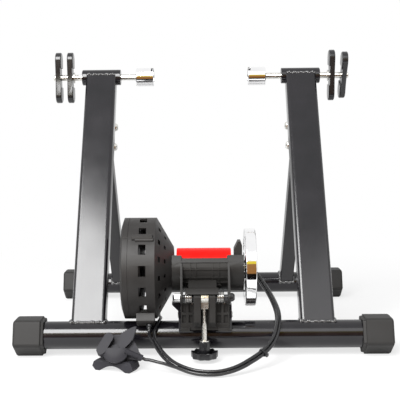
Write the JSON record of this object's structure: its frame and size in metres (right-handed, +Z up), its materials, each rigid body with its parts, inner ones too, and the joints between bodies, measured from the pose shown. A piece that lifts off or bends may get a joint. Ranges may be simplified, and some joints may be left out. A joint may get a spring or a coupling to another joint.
{
  "type": "bike trainer",
  "caption": "Folding indoor bike trainer: a hinged tube stand with screw axle clamps, and a swinging red roller with magnetic drum, chrome flywheel, tension knob, cable and shifter.",
  "frame": {"origin": "middle of the footprint on the floor, without the shift cable: halfway along the base tubes, and halfway between the shifter's saddle in front and the rear feet", "axes": "+X along the base tubes towards the flywheel side, +Y back towards the folding support tube, +Z up"},
  "size_m": [0.545, 0.5952, 0.4565],
  "materials": {
    "satin_black_steel": "satin",
    "foot_plastic": "matte",
    "knob_plastic": "satin",
    "unit_plastic": "matte",
    "drum_plastic": "matte",
    "shifter_plastic": "matte",
    "cable_jacket": "satin",
    "spring_wire": "bright",
    "black_bolt": "blackened",
    "zinc_steel": "zinc plated",
    "chrome_steel": "polished",
    "aluminium_disc": "turned",
    "red_roller": "red anodised, satin"
  },
  "bodies": {
    "frame": {"main_base_tube": "satin_black_steel", "main_leg_left": "satin_black_steel", "main_leg_right": "satin_black_steel", "axle_sleeve_left": "satin_black_steel", "axle_sleeve_right": "satin_black_steel", "hinge_bracket_left": "satin_black_steel", "hinge_bracket_right": "satin_black_steel", "hinge_bolt_left": "zinc_steel", "hinge_bolt_right": "zinc_steel", "hinge_nut_left": "zinc_steel", "hinge_nut_right": "zinc_steel", "stop_pin_left": "zinc_steel", "stop_pin_right": "zinc_steel", "mount_bracket": "satin_black_steel", "pivot_block": "unit_plastic", "pivot_bolt": "black_bolt", "pivot_nut": "chrome_steel", "lower_bolt": "zinc_steel", "torsion_spring_left": "spring_wire", "torsion_spring_right": "spring_wire", "shifter_body": "shifter_plastic", "shifter_saddle": "shifter_plastic", "cable_drum_lead": "cable_jacket", "cable_coil": "cable_jacket", "cable_shifter_lead": "cable_jacket", "cable_tie": "knob_plastic"},
    "support_frame": {"support_base_tube": "satin_black_steel", "support_leg_left": "satin_black_steel", "support_leg_right": "satin_black_steel", "support_end_cap_left": "foot_plastic", "support_end_cap_right": "foot_plastic"},
    "left_foot": {"levelling_foot_left": "foot_plastic"},
    "right_foot": {"levelling_foot_right": "foot_plastic"},
    "left_cup": {"axle_cup_left": "chrome_steel"},
    "left_spindle": {"spindle_left": "zinc_steel", "tightening_knob_left": "knob_plastic"},
    "left_lock_washer": {"lock_washer_left": "zinc_steel"},
    "left_lock_knob": {"lock_knob_left": "knob_plastic"},
    "right_cup": {"axle_cup_right": "chrome_steel"},
    "right_spindle": {"spindle_right": "zinc_steel", "tightening_knob_right": "knob_plastic"},
    "right_lock_washer": {"lock_washer_right": "zinc_steel"},
    "right_lock_knob": {"lock_knob_right": "knob_plastic"},
    "roller_unit": {"cradle": "unit_plastic", "drum_housing": "drum_plastic", "drum_cover": "drum_plastic", "fixed_magnet_ring": "zinc_steel", "bearing_left": "zinc_steel", "bearing_right": "zinc_steel", "cable_gland": "knob_plastic"},
    "magnet_ring": {"moving_magnet_ring": "zinc_steel"},
    "rotor": {"shaft": "zinc_steel", "roller": "red_roller", "flywheel": "chrome_steel", "flywheel_nut": "zinc_steel", "rotor_disc": "aluminium_disc"},
    "tension_link": {"tension_rod": "zinc_steel"},
    "tension_washer": {"star_washer": "zinc_steel"},
    "tension_knob": {"star_knob": "knob_plastic"},
    "shift_lever": {"shifter_lever": "shifter_plastic"}
  },
  "joints": [
    {"name": "support_fold", "type": "hinge", "parent": "frame", "child": "support_frame", "pos_m": [0, 0.0213, 0.29847], "axis": [-1, 0, 0], "range_deg": [0, 65]},
    {"name": "left_foot_turn", "type": "hinge", "parent": "frame", "child": "left_foot", "pos_m": [-0.25, -0.18368, 0.02997], "axis": [1, 0, 0], "continuous": true},
    {"name": "right_foot_turn", "type": "hinge", "parent": "frame", "child": "right_foot", "pos_m": [0.25, -0.18368, 0.02997], "axis": [1, 0, 0], "continuous": true},
    {"name": "left_cup_slide", "type": "slide", "parent": "frame", "child": "left_cup", "axis": [1, 0, 0], "range_m": [-0.01501, 0.00801]},
    {"name": "left_spindle_turn", "type": "hinge", "parent": "left_cup", "child": "left_spindle", "pos_m": [-0.2, 0.04832, 0.41447], "axis": [1, 0, 0], "range_deg": [-1800, 960]},
    {"name": "left_lock_washer_slide", "type": "slide", "parent": "left_cup", "child": "left_lock_washer", "axis": [1, 0, 0], "range_m": [-0.00501, 0.00401]},
    {"name": "left_lock_knob_turn", "type": "hinge", "parent": "left_lock_washer", "child": "left_lock_knob", "pos_m": [-0.222, 0.04832, 0.41447], "axis": [1, 0, 0], "range_deg": [-600, 480]},
    {"name": "right_cup_slide", "type": "slide", "parent": "frame", "child": "right_cup", "axis": [-1, 0, 0], "range_m": [-0.01501, 0.00801]},
    {"name": "right_spindle_turn", "type": "hinge", "parent": "right_cup", "child": "right_spindle", "pos_m": [0.2, 0.04832, 0.41447], "axis": [-1, 0, 0], "range_deg": [-1800, 960]},
    {"name": "right_lock_washer_slide", "type": "slide", "parent": "right_cup", "child": "right_lock_washer", "axis": [-1, 0, 0], "range_m": [-0.00501, 0.00401]},
    {"name": "right_lock_knob_turn", "type": "hinge", "parent": "right_lock_washer", "child": "right_lock_knob", "pos_m": [0.222, 0.04832, 0.41447], "axis": [-1, 0, 0], "range_deg": [-600, 480]},
    {"name": "unit_swing", "type": "hinge", "parent": "frame", "child": "roller_unit", "pos_m": [0, -0.22568, 0.09197], "axis": [1, 0, 0], "range_deg": [0, 14], "stiffness_Nm_per_rad": 4},
    {"name": "magnet_ring_turn", "type": "hinge", "parent": "roller_unit", "child": "magnet_ring", "pos_m": [-0.09, -0.16868, 0.12547], "axis": [1, 0, 0], "range_deg": [0, 20]},
    {"name": "rotor_spin", "type": "hinge", "parent": "roller_unit", "child": "rotor", "pos_m": [0, -0.16868, 0.12547], "axis": [1, 0, 0], "continuous": true},
    {"name": "tension_swing", "type": "hinge", "parent": "frame", "child": "tension_link", "pos_m": [0.0031, -0.22568, 0.09197], "axis": [-1, 0, 0], "range_deg": [-1, 80]},
    {"name": "star_washer_slide", "type": "slide", "parent": "tension_link", "child": "tension_washer", "axis": [0, 0, 1], "range_m": [-0.00001, 0.00801]},
    {"name": "star_knob_turn", "type": "hinge", "parent": "tension_washer", "child": "tension_knob", "pos_m": [0.0022, -0.22568, 0.02], "axis": [0, 0, 1], "range_deg": [0, 1440]},
    {"name": "shift_lever_turn", "type": "hinge", "parent": "frame", "child": "shift_lever", "pos_m": [-0.118, -0.27568, 0.031], "axis": [0, -0.866, 0.5], "range_deg": [0, 22]}
  ],
  "couplings": [
    {"joint": "left_cup_slide", "follows": "left_spindle_turn", "m_per_rad": 0.00047746},
    {"joint": "left_lock_washer_slide", "follows": "left_lock_knob_turn", "m_per_rad": 0.00047746},
    {"joint": "right_cup_slide", "follows": "right_spindle_turn", "m_per_rad": 0.00047746},
    {"joint": "right_lock_washer_slide", "follows": "right_lock_knob_turn", "m_per_rad": 0.00047746},
    {"joint": "star_washer_slide", "follows": "star_knob_turn", "m_per_rad": 0.00031831},
    {"joint": "shift_lever_turn", "follows": "magnet_ring_turn", "ratio": 1.1}
  ]
}
